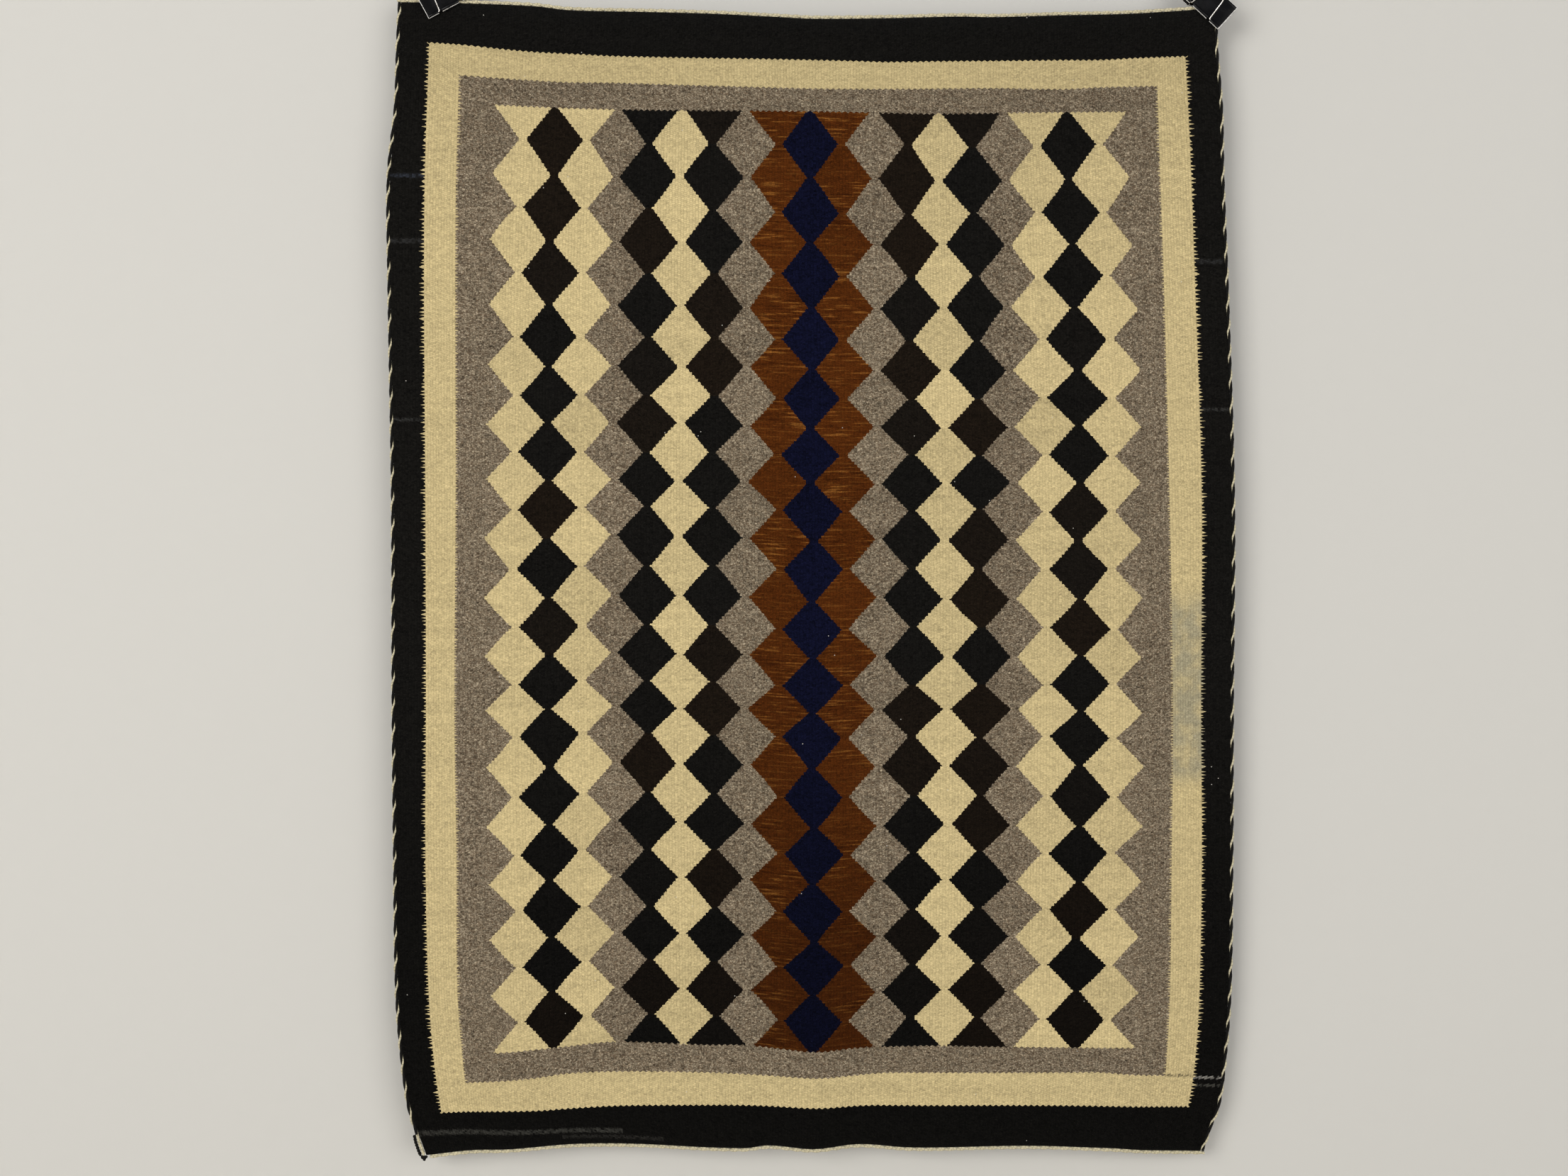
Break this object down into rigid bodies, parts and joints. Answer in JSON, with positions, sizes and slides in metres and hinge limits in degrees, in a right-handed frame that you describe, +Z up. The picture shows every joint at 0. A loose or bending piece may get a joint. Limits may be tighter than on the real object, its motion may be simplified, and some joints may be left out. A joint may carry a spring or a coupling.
{
  "type": "handwoven diamond rug with hanging spring clips",
  "caption": "Flatwoven wool rug with a diamond lattice and banded border, hung by its top corners from black spring clips with wire handles.",
  "frame": {"origin": "middle of the top edge, at the top of the cord that finishes it", "axes": "+Z up, +X along the top edge to the right as seen from the front, -Y out of the rug's face towards the viewer"},
  "size_m": [0.8625, 0.0428, 1.2113],
  "materials": {
    "rug_wool": "weft-faced handspun wool in black, cream, grey, rust and navy",
    "cream_cord": "plied cream wool cord",
    "side_cord": "cream and black wool cords twisted together",
    "black_cord": "plied black wool cord",
    "clip_enamel": "glossy black enamel on spring steel",
    "clip_wire": "bright nickel-plated wire"
  },
  "bodies": {
    "root": {"rug_cloth": "rug_wool", "top_end_cord": "cream_cord", "bottom_end_cord": "cream_cord", "left_side_cords": "side_cord", "right_side_cords": "side_cord", "corner_cord_cream": "cream_cord", "corner_cord_black": "black_cord", "corner_knot": "black_cord", "left_clip_body": "clip_enamel", "left_clip_front_handle": "clip_wire", "left_clip_back_handle": "clip_wire", "right_clip_body": "clip_enamel", "right_clip_front_handle": "clip_wire", "right_clip_back_handle": "clip_wire"}
  },
  "joints": []
}
